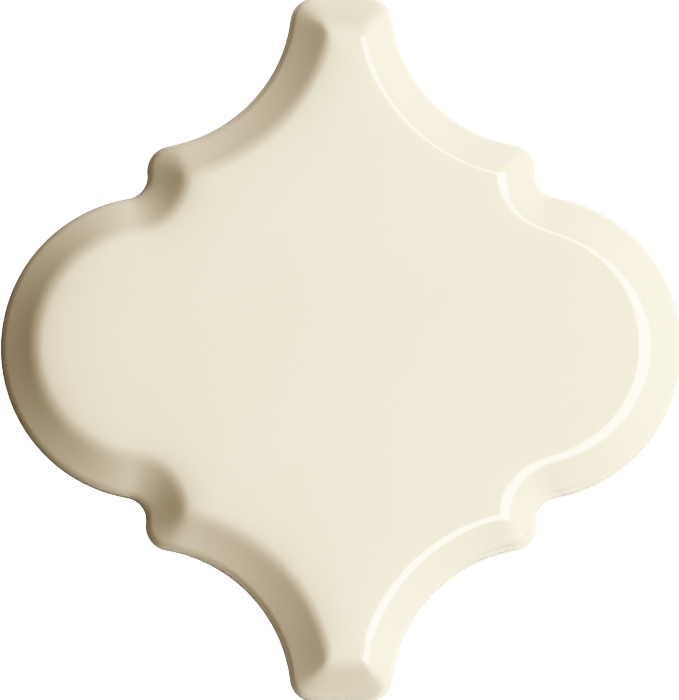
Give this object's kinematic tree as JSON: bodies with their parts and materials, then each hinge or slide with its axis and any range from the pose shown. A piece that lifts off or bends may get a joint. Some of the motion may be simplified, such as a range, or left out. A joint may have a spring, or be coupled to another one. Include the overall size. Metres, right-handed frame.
{
  "type": "wall tile",
  "caption": "Glazed arabesque wall tile: round side lobes, small ears, scalloped hollows and flat-ended necks, with a wide bevel rolled into a flat face and a ribbed back.",
  "frame": {"origin": "centre of the back plane, on the surface the tile lies on", "axes": "+X across the side lobes, to the right of the picture; +Y along the necks, to the top of the picture; +Z out of the glazed face"},
  "size_m": [0.155, 0.1618, 0.01],
  "materials": {
    "glazed_tile": "glossy cream glaze on the face, bevel and sides, bare fired clay on the back"
  },
  "bodies": {
    "root": {"tile": "glazed_tile"}
  },
  "joints": []
}
